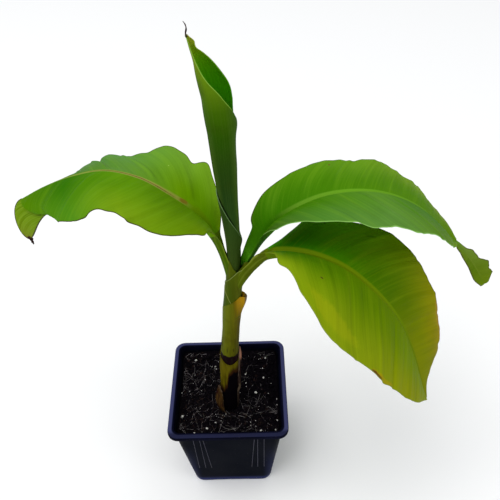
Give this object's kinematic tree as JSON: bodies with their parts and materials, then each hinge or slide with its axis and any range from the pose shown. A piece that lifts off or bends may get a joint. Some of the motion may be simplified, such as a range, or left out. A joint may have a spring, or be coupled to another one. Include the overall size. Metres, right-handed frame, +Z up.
{
  "type": "young banana plant in a square nursery pot",
  "caption": "Young potted banana plant with arching paddle leaves, one leaf still rolled upright, in a square nursery pot that stands on its flat underside.",
  "frame": {"origin": "middle of the flat underside of the pot", "axes": "+Z up the stem, -Y out of the pot's front wall, +X towards the side with the two right-hand leaves"},
  "size_m": [0.3024, 0.1329, 0.3801],
  "materials": {
    "pot_plastic": "thin moulded near-black blue plastic with a soft satin sheen",
    "compost": "dark moist fibrous potting compost with pale roots and white drainage grains",
    "stem_sheath": "smooth fleshy leaf sheaths, green above and olive yellow below, with a purple brown band near the foot",
    "husk": "dry withered sheath, brown and fibrous",
    "stalk": "smooth fleshy gutter-shaped leaf stalk, waxy green",
    "leaf_green": "thin satin leaf blade with fine parallel side veins",
    "leaf_yellowing": "thin satin leaf blade, olive green turning yellow, with brown specks at its edge",
    "leaf_rolled": "rolled young leaf blade, dark satin green outside and bright green inside",
    "dry_tip": "dried dark brown leaf tip"
  },
  "bodies": {
    "root": {"pot": "pot_plastic", "compost": "compost", "husk_left": "husk", "husk_right": "husk", "husk_back": "husk", "stem_foot": "stem_sheath", "stem_cut_sheath": "stem_sheath", "stem_inner_sheaths": "stem_sheath", "leaf_rolled": "leaf_rolled", "leaf_rolled_mouth": "leaf_rolled", "leaf_rolled_thread": "dry_tip", "stalk_left": "stalk", "stalk_upper_right": "stalk", "stalk_lower_right": "stalk", "leaf_left_inner": "leaf_green", "leaf_left_outer": "leaf_green", "leaf_left_tip": "leaf_green", "leaf_left_thread": "dry_tip", "leaf_upper_right_inner": "leaf_green", "leaf_upper_right_outer": "leaf_green", "leaf_upper_right_tip": "leaf_green", "leaf_lower_right_inner": "leaf_yellowing", "leaf_lower_right_outer": "leaf_yellowing"}
  },
  "joints": []
}
